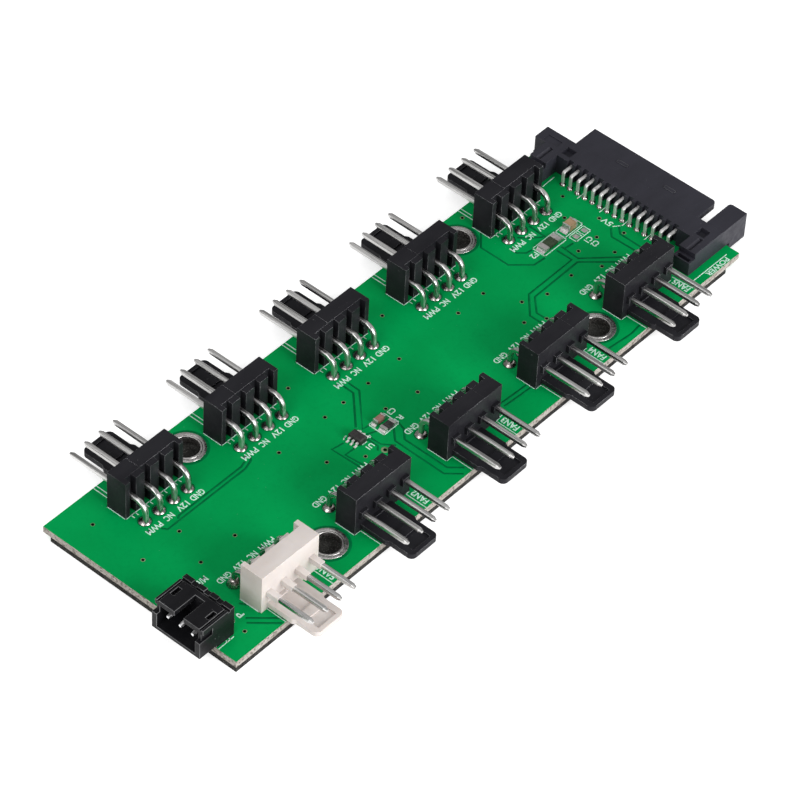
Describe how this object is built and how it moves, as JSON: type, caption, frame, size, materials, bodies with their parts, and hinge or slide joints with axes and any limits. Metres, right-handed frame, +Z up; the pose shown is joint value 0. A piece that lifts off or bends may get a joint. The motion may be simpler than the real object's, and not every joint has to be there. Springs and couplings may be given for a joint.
{
  "type": "pc fan controller hub",
  "caption": "Flat circuit board that splits one control signal and one drive power feed into two rows of pin headers for case fans, on a foam base.",
  "frame": {"origin": "underside of the foam pad, below the middle of the circuit board's outline", "axes": "+X along the board towards the power inlet, +Y across it towards the back row of fan headers, +Z up from the foam pad to the headers"},
  "size_m": [0.1039, 0.0416, 0.0079],
  "materials": {
    "solder_mask": "glossy green lacquer over glass fibre",
    "foam": "speckled closed-cell foam",
    "black_nylon": "satin moulded nylon",
    "pale_nylon": "satin moulded nylon",
    "tinned_pin": "drawn and tinned",
    "tinned_contact": "stamped and tinned",
    "solder": "bright solder",
    "tinned_ring": "tinned copper",
    "chip_epoxy": "matt epoxy",
    "capacitor_ceramic": "fired ceramic",
    "resistor_face": "glazed black face",
    "fuse_face": "dark green lacquer",
    "tinned_end": "tinned end cap"
  },
  "bodies": {
    "root": {"bare_pads": "tinned_end", "buffer_chip": "chip_epoxy", "buffer_chip_leads": "tinned_end", "capacitor_1": "capacitor_ceramic", "capacitor_1_ends": "tinned_end", "capacitor_2": "capacitor_ceramic", "capacitor_2_ends": "tinned_end", "circuit_board": "solder_mask", "fan_header_1": "pale_nylon", "fan_header_10": "black_nylon", "fan_header_2": "black_nylon", "fan_header_3": "black_nylon", "fan_header_4": "black_nylon", "fan_header_5": "black_nylon", "fan_header_6": "black_nylon", "fan_header_7": "black_nylon", "fan_header_8": "black_nylon", "fan_header_9": "black_nylon", "fan_header_pins_1": "tinned_pin", "fan_header_pins_10": "tinned_pin", "fan_header_pins_2": "tinned_pin", "fan_header_pins_3": "tinned_pin", "fan_header_pins_4": "tinned_pin", "fan_header_pins_5": "tinned_pin", "fan_header_pins_6": "tinned_pin", "fan_header_pins_7": "tinned_pin", "fan_header_pins_8": "tinned_pin", "fan_header_pins_9": "tinned_pin", "fan_header_solder": "solder", "foam_pad": "foam", "fuse": "fuse_face", "fuse_ends": "tinned_end", "mounting_hole_plating": "tinned_ring", "power_contact_1": "tinned_contact", "power_contact_10": "tinned_contact", "power_contact_11": "tinned_contact", "power_contact_12": "tinned_contact", "power_contact_13": "tinned_contact", "power_contact_14": "tinned_contact", "power_contact_15": "tinned_contact", "power_contact_2": "tinned_contact", "power_contact_3": "tinned_contact", "power_contact_4": "tinned_contact", "power_contact_5": "tinned_contact", "power_contact_6": "tinned_contact", "power_contact_7": "tinned_contact", "power_contact_8": "tinned_contact", "power_contact_9": "tinned_contact", "power_inlet": "black_nylon", "power_inlet_solder": "solder", "resistor_1": "resistor_face", "resistor_1_ends": "tinned_end", "signal_inlet": "black_nylon", "signal_inlet_solder": "solder", "signal_pin_1": "tinned_pin", "signal_pin_2": "tinned_pin", "signal_pin_3": "tinned_pin"}
  },
  "joints": []
}
